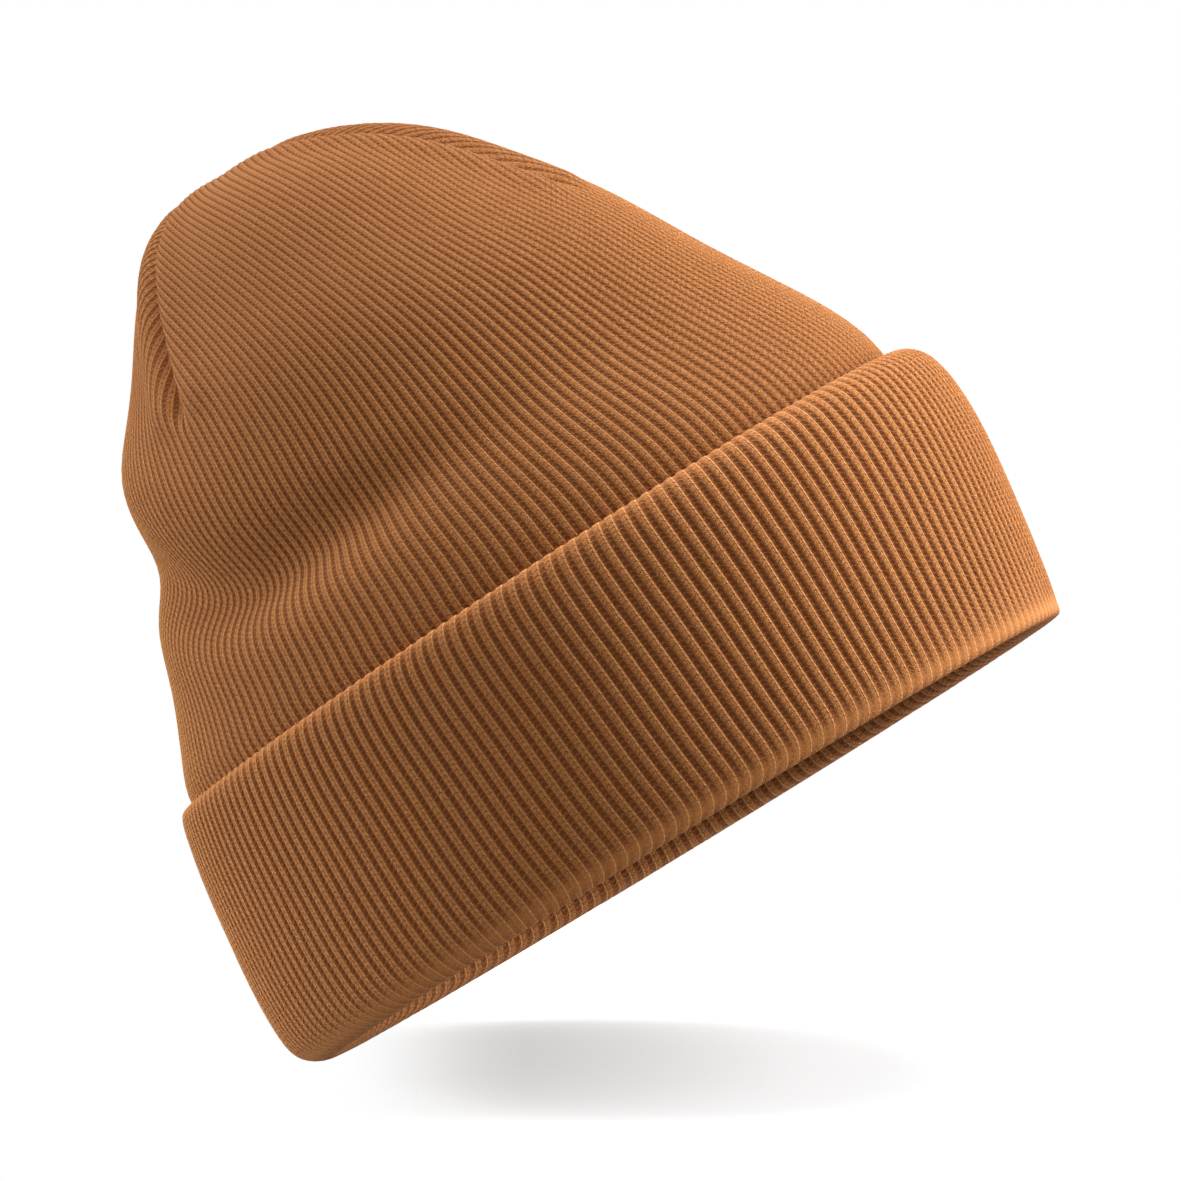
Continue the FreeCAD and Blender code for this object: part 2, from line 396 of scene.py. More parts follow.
knit_stitch = knit_stitch_group()
print("knit stitch group has", len(knit_stitch.nodes), "nodes")

# %% [markdown]
# ## Four finishes
# The outer shell, the lining and the cuff are the same warm brown acrylic yarn, whose tone varies a little at random.
# Its colour here is painted dark and reddish down in the hollows and in the gaps between the stitches' legs: painted
# shade, reddened as light bounces from strand to strand, with the tops of the cords painted lighter. It is paler where
# single fibres stand up, and a thin line along one side of each cord is a painted highlight. The sheen of the
# Principled shader is made for that fuzz, which shows most where the cloth turns away.
#
# A fold stretches the ribs flat, so a finish can be given the rows where its cloth folds, and fades the ribs and their
# painted shade there.
# The cuff's own finish is made with its strip, further down, where the rows of its two folds are known.

# %% The knit finishes
def knit_finish(name, hollow_shade, body, pale_fibre_and_highlight, fuzz, bump, folds_at=()):
    """A knitted yarn in three tones: painted shade in the hollows and gaps, the body colour on the cords, and paler
    fibres with a painted highlight. A fold stretches the ribs flat and evens out their painted shade.
    """
    material = bpy.data.materials.new(name)
    material.use_nodes = True
    tree = material.node_tree
    skin = tree.nodes["Principled BSDF"]
    stitch = tree.nodes.new("ShaderNodeGroup")
    stitch.node_tree = knit_stitch
    out = stitch.outputs

    cloud = tree.nodes.new("ShaderNodeTexNoise")
    cloud.inputs["Scale"].default_value = 28.0
    cloud.inputs["Detail"].default_value = 2.0
    where = tree.nodes.new("ShaderNodeTexCoord")
    tree.links.new(where.outputs["Object"], cloud.inputs["Vector"])

    # Painted light and shade: lit is high on the cords and on the bars in the hollows, and low in the gaps and
    # hollows. The cloud and fibre noise only vary the tone at random.
    lit = node_sum(tree, "MULTIPLY", out["Cord"], node_sum(tree, "MULTIPLY_ADD", out["Gap"], -0.45, 0.92))
    lit = node_sum(tree, "MULTIPLY_ADD", out["Bar"], 0.50, lit)
    lit = node_sum(tree, "MULTIPLY", lit, node_ease(tree, cloud.outputs["Fac"], 0.2, 0.8, 0.86, 1.0))
    lit = node_sum(tree, "MULTIPLY", lit, node_ease(tree, out["Fibre mask"], 0.0, 1.0, 0.44, 1.20))
    fluff = tree.nodes.new("ShaderNodeTexNoise")
    fluff.inputs["Scale"].default_value = 1700.0
    fluff.inputs["Detail"].default_value = 2.0
    tree.links.new(where.outputs["Object"], fluff.inputs["Vector"])
    grain = node_ease(tree, fluff.outputs["Fac"], 0.30, 0.70, 0.76, 1.24)
    flat = None
    for row, width in folds_at:
        near = node_bell(tree, node_sum(tree, "SUBTRACT", out["Row"], row), width)
        flat = near if flat is None else node_sum(tree, "MAXIMUM", flat, near)
    height = out["Height"]
    # At a fold the bumps fade and the painted shade evens out to one tone.
    if flat is not None:
        held = node_sum(tree, "MULTIPLY_ADD", flat, -0.8, 1.0)
        lit = node_sum(tree, "ADD", node_sum(tree, "MULTIPLY", lit, held), node_sum(tree, "MULTIPLY", flat, 0.55))
        height = node_sum(tree, "MULTIPLY", height, held)
    lit = node_sum(tree, "MULTIPLY", lit, grain)
    # The painted shade colour fills the hollows and gaps where lit is low.
    tone = node_mix(tree, lit, hollow_shade, body)
    # shine: paler fibres, brightest where the cords are painted lit, and the painted highlight along the glint line.
    shine = node_sum(tree, "MULTIPLY", node_sum(tree, "MULTIPLY", out["Fibre mask"], 0.40), lit)
    shine = node_sum(tree, "MULTIPLY_ADD", out["Glint"], 0.65, shine)
    tone = node_mix(tree, shine, tone, pale_fibre_and_highlight)
    tree.links.new(tone, skin.inputs["Base Color"])

    tree.links.new(node_ease(tree, out["Fibre mask"], 0.0, 1.0, 0.98, 0.82), skin.inputs["Roughness"])
    skin.inputs["Specular IOR Level"].default_value = 0.10
    skin.inputs["Sheen Weight"].default_value = fuzz
    skin.inputs["Sheen Roughness"].default_value = 0.45
    skin.inputs["Sheen Tint"].default_value = (1.0, 0.60, 0.30, 1.0)
    relief = tree.nodes.new("ShaderNodeBump")
    relief.inputs["Strength"].default_value = bump
    relief.inputs["Distance"].default_value = 0.45 * MM
    tree.links.new(height, relief.inputs["Height"])
    tree.links.new(relief.outputs["Normal"], skin.inputs["Normal"])
    return material


# The colour of the painted shade in the hollows and gaps.
HOLLOW_SHADE = (0.215, 0.062, 0.016)
BODY = (0.495, 0.180, 0.050)
# Paler fibres, and the painted highlight along one side of each cord.
PALE_FIBRE_AND_HIGHLIGHT = (0.765, 0.362, 0.132)
# The shell's and the lining's copies of the yarn are painted darker than the cuff's: the shell's as painted shade
# against the stronger top light on the crown, the lining's as painted shade inside the hat.
shell_knit = knit_finish("Outer knit", (0.180, 0.051, 0.012), (0.425, 0.153, 0.041), (0.660, 0.310, 0.110), 0.15, 0.9)
lining_knit = knit_finish("Lining knit", HOLLOW_SHADE, (0.380, 0.128, 0.030), (0.540, 0.240, 0.080), 0.12, 0.9)
print("finishes", [m.name for m in bpy.data.materials])


# %% The sewing thread finish
def thread_finish():
    """Two-ply spun thread: fine slanting strands, a little darker than the yarn, with painted shade in the thin
    grooves between them.
    """
    material = bpy.data.materials.new("Sewing thread")
    material.use_nodes = True
    tree = material.node_tree
    skin = tree.nodes["Principled BSDF"]
    marks = tree.nodes.new("ShaderNodeUVMap")
    marks.uv_map = "knit"
    split = tree.nodes.new("ShaderNodeSeparateXYZ")
    tree.links.new(marks.outputs["UV"], split.inputs[0])
    round_it = node_sum(tree, "MULTIPLY", split.outputs["X"], 2.0)
    slant = node_sum(tree, "MULTIPLY_ADD", split.outputs["Y"], 1.6, round_it)
    strand = node_sum(tree, "ABSOLUTE", node_sum(tree, "SUBTRACT", node_sum(tree, "FRACT", slant), 0.5))
    lit = node_ease(tree, strand, 0.02, 0.22)
    # Painted shade: the dark colour in the grooves where lit is low.
    tree.links.new(node_mix(tree, lit, (0.09, 0.03, 0.010), (0.36, 0.17, 0.06)), skin.inputs["Base Color"])
    tree.links.new(node_ease(tree, lit, 0.0, 1.0, 0.9, 0.6), skin.inputs["Roughness"])
    skin.inputs["Sheen Weight"].default_value = 0.15
    relief = tree.nodes.new("ShaderNodeBump")
    relief.inputs["Strength"].default_value = 0.7
    relief.inputs["Distance"].default_value = 0.12 * MM
    tree.links.new(lit, relief.inputs["Height"])
    tree.links.new(relief.outputs["Normal"], skin.inputs["Normal"])
    return material


sewing_thread = thread_finish()
print("thread finish has", len(sewing_thread.node_tree.nodes), "nodes")

# %% [markdown]
# ## The cuff, one strip folded twice
# On the real hat the cloth comes down inside as the lining, turns outward under the rim, climbs as the cuff's face,
# rolls over at the top and goes back down behind itself. It is one strip, so it is drawn as one line and cut into
# plies where the CAD model divides it. The soft radius at the top and the turn under the rim come from that line. A
# bevel on a plain ring could round them too, but the ribs would then not run over the folds as real ones do.

# %% Where the ribs crowd
def crowd(phi):
    """How far a rib is pushed round, in radians. The ribs sit closer together on the front of one side."""
    turn = np.degrees(np.mod(phi + math.pi, 2.0 * math.pi) - math.pi)
    push = 4.0 - 6.0 * np.tanh((turn + 28.0) / 48.0)
    return np.radians(push * ease(turn, -175.0, -95.0) * ease(-turn, -175.0, -60.0))


# %% The line of the folded strip
C = cuff_half
strip_line = Line([
    (shell_half - 5.0, 6.0), (shell_half - 5.0, 3.6), (shell_half - 3.8, 1.2), (shell_half - 1.0, 0.0),
    (shell_half + 3.5, 0.0), (C - 3.6, 1.7), (C - 2.0, 5.0), (C - 1.0, 10.5), (C, 30.0), (C, 44.0), (C - 0.8, 57.0),
    (C - 2.1, 64.0), (C - 4.4, 68.6), (C - 6.6, 69.9), (shell_half + 1.0, 68.6), (shell_half + 0.9, 65.0),
    (shell_half + 1.0, 60.0), (shell_half + 1.0, 30.0), (shell_half + 1.0, 5.1),
])
CUFF_COLUMNS = RIBS * 8
CUFF_CORD = 0.62


def strip_shape(r, z, phi):
    """The cuff isn't a true ring: it leans a little, and its top edge is lower on one side."""
    outer = ease(r, shell_half + 1.5, shell_half + 8.0)
    rise = ease(z, 0.0, 62.0)
    slant = -0.20 * (z - 35.0) + 0.0050 * np.maximum(z - 45.0, 0.0) ** 2
    turn = slant / C * bell(phi + math.radians(5.0), math.radians(62.0)) * outer
    points = place(r, z, phi + turn + crowd(phi))
    points[..., 0] += outer * (-3.2 + 5.2 * rise)
    points[..., 2] += (-1.5 + 2.5 * np.sin(phi)) * ease(z, 40.0, 70.0)
    return points


def strip_grid(line, shape, rows, columns, depth, back=None):
    """The face grid of a strip, or its smooth back at a distance behind the face."""
    phi = np.linspace(-math.pi, math.pi, columns, endpoint=False)[None, :]
    u = (phi + math.pi) / (2.0 * math.pi) * RIBS
    r, z, nr, nz = (a[:, None] for a in line.at(rows))
    if back is None:
        flat = 1.0 - 0.96 * bell(z + 1.0, 8.5) - 0.60 * bell(z - cuff_top, 5.0)
        sink = depth * flat * (1.0 - cord_height(u)) + uneven(len(rows), columns, 0.06)
        sink = np.maximum(sink, 0.0)
    else:
        sink = np.full((len(rows), columns), back)
    base = shape(r, z, phi + 0.0 * r)
    out = np.stack([nr * np.sin(phi), -nr * np.cos(phi), nz + 0.0 * phi], axis=-1)
    return base - out * sink[..., None]


def knit_marks(rows, columns, half=0.0):
    u = np.linspace(0.0, RIBS, columns + 1)[None, :] + half
    v = rows[:, None] / PITCH_UP
    return np.stack([u + 0.0 * v, v + 0.0 * u], axis=-1)


# %% [markdown]
# Where two plies of the strip meet, the shading has to run on without a line. Blender works out a smooth normal from
# a piece's own faces only, so a cut edge would shade a little differently on each side. The normals are therefore
# worked out on the whole strip and given to each ply.

# %% Cutting the strip into plies
def grid_normals(points):
    along = np.gradient(np.concatenate([points[:, -2:], points, points[:, :2]], axis=1), axis=1)[:, 2:-2]
    up = np.gradient(points, axis=0)
    n = np.cross(along, up)
    return n / np.maximum(np.linalg.norm(n, axis=-1, keepdims=True), 1e-9)


def row_at(height, first, last):
    """The distance along the strip, between two others, where it is at a height."""
    s = np.linspace(first, last, 2000)
    z = strip_line.at(s)[1]
    return float(s[np.argmin(np.abs(z - height))])


strip_end = strip_line.s[-1]
top_s = float(strip_line.s[np.argmax(strip_line.z)])
rim_end = row_at(6.0, 8.0, top_s)
rim_s = row_at(1.8, 8.0, top_s)
cuff_knit = knit_finish("Cuff knit", HOLLOW_SHADE, BODY, PALE_FIBRE_AND_HIGHLIGHT, 0.16, 0.9,
                        [(rim_s / PITCH_UP, 2.6 / PITCH_UP), (top_s / PITCH_UP, 2.2 / PITCH_UP)])
face_end = row_at(64.0, rim_end, top_s)
fold_end = row_at(65.0, top_s, strip_end)


def strip_rows(first, last, gap):
    return np.linspace(first, last, max(3, int(round((last - first) / gap))) + 1)


cuts = [("rim_roll", 0.0, rim_end, 1.1), ("cuff_face", rim_end, face_end, 2.0),
        ("cuff_top_roll", face_end, fold_end, 1.2), ("cuff_backing", fold_end, strip_end, 4.0)]
cuff_pieces = {}
strip_all = np.concatenate([strip_rows(a, b, gap)[(0 if i == 0 else 1):] for i, (_, a, b, gap) in enumerate(cuts)])
strip_points = strip_grid(strip_line, strip_shape, strip_all, CUFF_COLUMNS, CUFF_CORD)
strip_normal = grid_normals(strip_points)
for name, first, last, gap in cuts:
    picked = np.where((strip_all >= first - 1e-6) & (strip_all <= last + 1e-6))[0]
    rows = strip_all[picked]
    face = strip_points[picked]
    back_columns = CUFF_COLUMNS // 4
    back = strip_grid(strip_line, strip_shape, rows, back_columns, 0.0, back=PLY)
    face_ids = np.arange(face[..., 0].size).reshape(face.shape[:2])
    back_ids = np.arange(back[..., 0].size).reshape(back.shape[:2])
    piece = ply_piece(
        name, face.reshape(-1, 3), back.reshape(-1, 3), face_ids, back_ids, knit_marks(rows, CUFF_COLUMNS),
        knit_marks(rows, back_columns, 0.5), 4, cuff_knit, flip=False, close_top=True,
    )
    loops = len(piece.data.loops)
    given = np.zeros((loops, 3), np.float32)
    owner = np.zeros(loops, np.int32)
    piece.data.loops.foreach_get("vertex_index", owner)
    count = (len(rows) - 1) * CUFF_COLUMNS * 4
    given[:count] = strip_normal[picked].reshape(-1, 3)[owner[:count]]
    piece.data.normals_split_custom_set(given)
    cuff_pieces[name] = piece

# %% [markdown]
# Right at the bottom, hidden between the cuff and the shell, the strip turns inward and becomes the shell. That turn
# is tight, so it is a small ring of its own.

# %% The inner turn at the rim
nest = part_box("rim_inner_turn")
nest_top = nest[1].z / MM
angles = np.linspace(0.0, math.pi, 8)
small_turn = Line([(shell_half + 0.5 + 0.5 * math.cos(a), nest_top - 0.5 * math.sin(a)) for a in angles])
rows = strip_rows(0.0, small_turn.s[-1], 0.25)
plain = lambda r, z, phi: place(r, z, phi)
face = strip_grid(small_turn, plain, rows, RIBS * 4, 0.35)
back = strip_grid(small_turn, plain, rows, RIBS * 2, 0.0, back=PLY)
rim_inner_roll = ply_piece(
    "rim_inner_roll", face.reshape(-1, 3), back.reshape(-1, 3), np.arange(face[..., 0].size).reshape(face.shape[:2]),
    np.arange(back[..., 0].size).reshape(back.shape[:2]), knit_marks(rows, RIBS * 4), knit_marks(rows, RIBS * 2, 0.5),
    2, cuff_knit, flip=False, close_top=True,
)

# %% The cuff rides on its body
for name, node in (("rim_roll", "rim_outer_turn"), ("cuff_face", "cuff_outer_ply"),
                   ("cuff_top_roll", "cuff_top_fold"), ("cuff_backing", "cuff_inner_ply")):
    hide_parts(node)
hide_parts("rim_inner_turn")
cuff_pieces["rim_inner_roll"] = rim_inner_roll
for piece in cuff_pieces.values():
    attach(piece, "cuff")
    area = cloth_area(piece)

# %% [markdown]
# ## The crown
# Above the cuff the tube narrows. On the real hat three darts are sewn from part way up to the very top, so the crown
# is three panels whose ribs stay side by side and run into the seams at a slant, like the bones of a fish. That can't
# be had by squeezing a round grid, which would bring every rib to a point. Here each panel keeps its ribs the same
# distance apart, and each column of points simply stops where it meets the seam. The last points of two neighbouring
# panels are the same points, so the crown is one closed skin.
#
# The hat also slumps: its top leans to one side and back, and one side has a soft fold.

# %% The slump of the crown
lean_across = springy((70.0, 78.0, 100.0, 125.0, 145.0, 165.0, 180.0, 189.0),
                      (0.0, 1.0, 0.0, -3.0, -5.0, -6.0, -9.5, -14.0))


def slump(z):
    """How far the crown's middle has moved at a height, across and back."""
    return np.where(z > 70.0, lean_across(z), 0.0), 0.10 * np.maximum(z - side_height, 0.0) * ease(z, 60.0, 90.0)


def folds(z, phi):
    """The fold on one side of the crown and the fullness round it, outwards."""
    turn = np.degrees(np.mod(phi + math.pi, 2.0 * math.pi) - math.pi)
    valley = 101.0 + 17.0 * ease(-turn, 42.0, 88.0)
    spread = np.where(turn < -42.0, 46.0, 33.0)
    fold = -6.0 * bell(turn + 42.0, spread) * bell(z - valley, 8.0)
    fold += 1.6 * bell(turn + 55.0, 38.0) * bell(z - valley + 15.0, 9.0)
    fold += 2.2 * bell(turn + 72.0, 34.0) * bell(z - valley - 20.0, 11.0)
    fold += 1.1 * bell(turn - 35.0, 30.0) * bell(z - 128.0, 12.0)
    fold += -0.9 * bell(turn - 25.0, 18.0) * bell(z - 102.0, 9.0)
    return fold


# %% The upright line of the crown
RISE = crown_top - side_height
shares = [(0.941, 0.152), (0.848, 0.303), (0.765, 0.440), (0.668, 0.604),
          (0.545, 0.745), (0.440, 0.850), (0.290, 0.945)]
shell_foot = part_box("outer_shell")[0].z / MM
lining_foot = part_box("lining")[0].z / MM
side_points = [(shell_half, 5.0), (shell_half, 30.0), (shell_half, 52.0), (shell_half, side_height)]
crown_points = [(shell_half * a, side_height + RISE * b) for a, b in shares]
beyond = [(-r, z) for r, z in crown_points[::-1][:2]]
full = Line(side_points + crown_points + [(0.0, crown_top)] + beyond)
to_top = full.r >= 0.0


def crown_line(foot, distance, more=0.0):
    """The crown's line moved into the hat by a distance, and by more near the top."""
    line = Line(side_points)
    moved = distance + more * ease(full.z, side_height, side_height + RISE / 2.0)
    r, z, nr, nz = full.at(full.s)
    r = (r - nr * moved)[to_top]
    z = (z - nz * moved)[to_top]
    r[-1] = 0.0
    inside = (z >= foot) & (r >= 0.0)
    line.fill(r[inside], z[inside])
    return line


SEAM_ROOM = 2.7
shell_line = crown_line(shell_foot, 0.0)
lining_line = crown_line(lining_foot, 2.0 * PLY + 0.6, SEAM_ROOM)
print("crown line", round(float(shell_line.s[-1]), 1), "mm long, lining line", round(float(lining_line.s[-1]), 1))


# %% Three panels as one skin
HALF_PANEL = RIBS / 6.0
wander = springy((-75, -66, -58, -48, -38, -18, 0, 12, 22, 32, 42, 51),
                 (5.8, 4.7, 3.6, 2.4, 1.9, 1.5, 0.0, -2.6, -5.6, -9.0, -12.5, -15.5))


def fan(w, much):
    """Where a rib lies across its panel, from -1 to 1. Ribs are a little wider apart near the darts."""
    share = w / HALF_PANEL
    return share + 0.075 * much * (share**3 - share)


class Crown:
    """Points, shared corners and knit marks of a crown with three darts."""

    def __init__(self, line, tip, first_seam, drift, out):
        self.line = line
        self.tip_s = float(np.interp(tip, line.z, line.s))
        self.tip = tip
        self.tip_r = float(np.interp(self.tip_s, line.s, line.r))
        self.first = math.radians(first_seam)
        self.drift = drift
        self.out = out
        self.pitch = self.tip_r * math.pi / 3.0 / HALF_PANEL

    def share(self, r):
        """The part of a panel's ribs that is left at a radius. The change starts softly at the tip of the dart."""
        draw = 0.16
        closing = 1.0 - draw * (1.0 - np.exp(-np.maximum(self.tip_r - r, 0.0) / (draw * self.tip_r)))
        return np.where(r < self.tip_r, r / self.tip_r / closing, 1.0)

    def lines(self, low, high, per_rib):
        """Rows below the darts and rows above them, for columns of each panel."""
        half = int(HALF_PANEL * per_rib)
        m = np.tile(np.arange(-half, half), 3)
        panel = np.repeat(np.arange(3), 2 * half)
        w = m / per_rib
        end = np.interp(np.abs(fan(w, 1.0)), self.share(self.line.r)[::-1], self.line.s[::-1])
        below = np.repeat(low[:, None], len(w), axis=1)
        q = np.arange(1, high + 1)[:, None] / high
        above = self.tip_s + (np.maximum(end, self.tip_s)[None, :] - self.tip_s) * (1.0 - (1.0 - q) ** 1.5)
        s = np.concatenate([below, above])
        ids = np.arange(s.size).reshape(s.shape)
        tip_row = len(low) - 1
        for k in range(3):
            first = 2 * half * k
            ids[tip_row:, first] = ids[tip_row, first]
            following = 2 * half * ((k + 1) % 3)
            for j in range(1, half):
                ids[-1, following + half - j] = ids[-1, first + half + j]
            ids[-1, first + half] = ids[-1, half]
        return s, w[None, :], panel[None, :], ids

    def angle(self, s, w, panel, r, z):
        g = np.where(s > self.tip_s, np.maximum(self.share(r), 1e-6), 1.0)
        spread = np.clip(fan(w, ease(z, 100.0, self.tip)) / g, -1.0, 1.0) * math.pi / 3.0
        rise = z - self.tip
        phi = self.first + math.pi / 3.0 + panel * 2.0 * math.pi / 3.0 + spread + np.radians(self.drift * wander(rise))
        return phi + crowd(phi) * (1.0 - ease(z, 100.0, 185.0)), g

    def points(self, s, w, panel, sink, groove):
        r, z, nr, nz = self.line.at(s)
        phi, g = self.angle(s, w, panel, r, z)
        across, back = slump(z)
        base = place(r, z, phi, across, back)
        n = np.stack([nr * np.sin(phi), -nr * np.cos(phi), nz], axis=-1)
        off = (g - np.abs(fan(w, 1.0))) * HALF_PANEL * self.pitch * 0.85
        sewn = ease(self.tip_r - r, 0.0, 5.0)
        drawn = -groove * np.minimum(1.0 - 0.45 * np.sin(phi), 1.12) * bell(off, 2.3) * sewn
        drawn += 1.3 * bell(off - 6.5, 4.0) * sewn * ease(r, 4.0, 18.0)
        move = folds(z, phi) + self.out * (drawn - sink)
        return base + n * move[..., None]

    def piece(self, name, foot_gap, body_gap, high, per_rib, step, depth, material):
        side_s = float(np.interp(side_height, self.line.z, self.line.s))
        low = np.concatenate([strip_rows(0.0, side_s, foot_gap)[:-1], strip_rows(side_s, self.tip_s, body_gap)])
        s, w, panel, ids = self.lines(low, high, per_rib)
        u = panel * 2.0 * HALF_PANEL + w + HALF_PANEL
        relief = depth * (1.0 - 0.6 * ease(self.line.at(s)[1], 112.0, 155.0))
        sink = np.maximum(relief * (1.0 - cord_height(u)) + uneven(*s.shape, 0.07), 0.0)
        face = self.points(s, w, panel, sink, 2.1)
        low_back = np.concatenate([low[:-1][::2], low[-1:]])
        sb, wb, pb, back_ids = self.lines(low_back, high // 2, per_rib // step)
        back = self.points(sb, wb, pb, np.full(sb.shape, PLY), 0.3)
        marks = lambda a, b: np.stack([b, a / PITCH_UP], axis=-1)
        ub = np.broadcast_to(pb * 2.0 * HALF_PANEL + wb + HALF_PANEL, sb.shape)
        close = lambda a, b: np.concatenate([marks(a, b), marks(a[:, :1], b[:, :1] + RIBS)], axis=1)
        face_marks = close(s, np.broadcast_to(u, s.shape))
        back_marks = close(sb, ub) + np.array([0.5, 0.0])
        return ply_piece(name, face.reshape(-1, 3), back.reshape(-1, 3), ids, back_ids, face_marks, back_marks,
                         step, material, flip=self.out < 0, close_top=False)


# %% The outer shell and the lining
shell_tip = float(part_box("shell_overlock_thread_back")[0].z / MM) + 2.2
shell = Crown(shell_line, shell_tip, -50.0, 1.0, 1.0)
shell_piece = shell.piece("ribbed_shell", 5.0, 2.5, 28, 6, 3, 0.42, shell_knit)
lining = Crown(lining_line, shell_tip - 3.3, 4.0, 0.3, -1.0)
lining_piece = lining.piece("ribbed_lining", 4.0, 3.6, 22, 6, 3, 0.5, lining_knit)
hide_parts("outer_shell")
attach(shell_piece, "crown")
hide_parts("lining")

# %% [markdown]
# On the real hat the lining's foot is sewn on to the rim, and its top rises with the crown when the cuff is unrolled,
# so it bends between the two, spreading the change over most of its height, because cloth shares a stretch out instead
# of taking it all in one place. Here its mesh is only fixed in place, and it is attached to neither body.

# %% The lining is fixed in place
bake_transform(lining_piece)
print("lining bends between the rim and", 0.128, "m up")

# %% [markdown]
# ## Seam edges and threads
# Inside the crown, between the two plies, each dart leaves a narrow ridge of two cut edges with an overlock thread
# wound round it. A sweep along the seam's line makes both: a soft two-lobed outline for the cloth, and a round one
# for the thread, which follows a spiral. A curve with a bevel would do the thread too, but a mesh lets the sweep
# carry the knit map for its twist.

# %% Sweeping an outline along a line
def sweep(name, centre, side, up, outline, material, scale=None):
    """A closed outline carried along a line. side and up are its two directions at each point."""
    count, around = len(centre), len(outline)
    size = np.ones(count) if scale is None else scale
    shape = np.array(outline)
    points = (
        centre[:, None, :]
        + side[:, None, :] * shape[None, :, 0, None] * size[:, None, None]
        + up[:, None, :] * shape[None, :, 1, None] * size[:, None, None]
    )
    length = np.concatenate([[0.0], np.cumsum(np.linalg.norm(np.diff(centre, axis=0), axis=1))])
    ids = np.arange(count * around).reshape(count, around)
    ids = np.concatenate([ids, ids[:, :1]], axis=1)
    u = np.linspace(0.0, 1.0, around + 1)[None, :] + 0.0 * length[:, None]
    v = length[:, None] / PITCH_UP + 0.0 * u
    faces, corners = grid_faces(ids, np.stack([u, v], axis=-1), False)
    ends = [ids[0, :-1].tolist()[::-1], ids[-1, :-1].tolist()]
    corners = np.concatenate([corners, np.zeros((2 * around, 2))])
    return new_piece(name, points.reshape(-1, 3), faces + ends, corners, material, [ids[0], ids[-1]])


def unit(a):
    return a / np.maximum(np.linalg.norm(a, axis=-1, keepdims=True), 1e-9)


def seam_line(crown, k, gap):
    """Points along a dart under the cloth's back, with the directions along, across and out of the hat."""
    last = float(np.interp(4.2, crown.line.r[::-1], crown.line.s[::-1]))
    s = strip_rows(crown.tip_s + 1.5, last, gap)
    r, z, nr, nz = crown.line.at(s)
    w = np.full(len(s), HALF_PANEL)
    phi, _ = crown.angle(s, w, k, r, z)
    across, back = slump(z)
    n = unit(np.stack([nr * np.sin(phi), -nr * np.cos(phi), nz], axis=-1))
    base = place(r, z, phi, across, back) + n * (folds(z, phi) - crown.out * (PLY + 0.3))[:, None]
    along = unit(np.gradient(base, axis=0))
    return base, along, unit(np.cross(along, n)), -crown.out * n


# %% The seams of both plies
lobes = [(-1.2, -0.1), (-1.3, 0.6), (-1.2, 1.25), (-0.85, 1.65), (-0.4, 1.65), (0.0, 1.15),
         (0.4, 1.65), (0.85, 1.65), (1.2, 1.25), (1.3, 0.6), (1.2, -0.1), (0.0, 0.0)]
ring_outline = [(0.22 * math.cos(a), 0.22 * math.sin(a)) for a in np.linspace(0.0, 2.0 * math.pi, 7)[:-1]]
seam_pieces = {"shell": [], "lining": []}
for ply, crown, names, knit in (("shell", shell, ("left", "back", "right"), shell_knit),
                                ("lining", lining, ("left", "right", "front"), lining_knit)):
    for k, facing in enumerate(names):
        base, along, side, away = seam_line(crown, k, 0.5)
        t = np.linspace(0.0, 1.0, len(base))
        ripple = 0.22 * np.sin(t * 160.0 + k)[:, None] * side
        swell = (1.0 + 0.08 * np.sin(t * 97.0 + 2.0 * k)) * (0.35 + 0.65 * ease(t, 0.0, 0.06))
        shape = [(a, b) for a, b in (lobes if crown.out > 0 else lobes[::-1])]
        edge = sweep(f"{ply}_seam_edges_{facing}", base + ripple, side, away, shape, knit, swell)
        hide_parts(f"{ply}_dart_seam_{facing}")

        turns = np.linspace(0.0, 1.0, len(base) * 3)
        spread = lambda a: np.stack([np.interp(turns, t, a[:, i]) for i in range(3)], axis=-1)
        where, beside, under = spread(base), unit(spread(side)), unit(spread(away))
        wind = turns * len(base) * 0.5 / 2.4 * 2.0 * math.pi
        coil = where + beside * (1.45 * np.cos(wind))[:, None] + under * (1.25 + 0.80 * np.sin(wind))[:, None]
        heading = unit(np.gradient(coil, axis=0))
        first = unit(np.cross(heading, unit(np.gradient(where, axis=0))))
        second = unit(np.cross(heading, first))
        thread = sweep(f"{ply}_overlock_{facing}", coil, first, second, ring_outline, sewing_thread)
        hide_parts(f"{ply}_overlock_thread_{facing}")
        for piece in (edge, thread):
            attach(piece, "crown")
            seam_pieces[ply].append(piece)
print("seam pieces", len(seam_pieces["shell"]) + len(seam_pieces["lining"]))

# %% The tack that holds the two tops together
low, high = (np.array(corner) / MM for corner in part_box("crown_tack"))
middle, reach = (low + high) / 2.0, (high - low) / 2.0
t = np.linspace(0.0, 2.0 * math.pi, 420)
wrap = np.stack([
    middle[0] + (reach[0] - 0.35) * np.cos(5.0 * t) * (0.70 + 0.30 * np.cos(7.0 * t)),
    middle[1] + (reach[1] - 0.35) * np.sin(5.0 * t) * (0.70 + 0.30 * np.cos(7.0 * t)),
    middle[2] + (reach[2] - 0.30) * np.sin(7.0 * t),
], axis=-1)
heading = unit(np.gradient(wrap, axis=0))
first = unit(np.cross(heading, unit(wrap - middle)))
tack = sweep("top_tack", wrap, first, unit(np.cross(heading, first)), ring_outline, sewing_thread)
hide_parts("crown_tack")
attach(tack, "crown")

# %% The cloth area of the two crown plies
for piece, line, extra in ((shell_piece, shell_line, seam_pieces["shell"]),
                           (lining_piece, lining_line, seam_pieces["lining"])):
    area = cloth_area(piece)
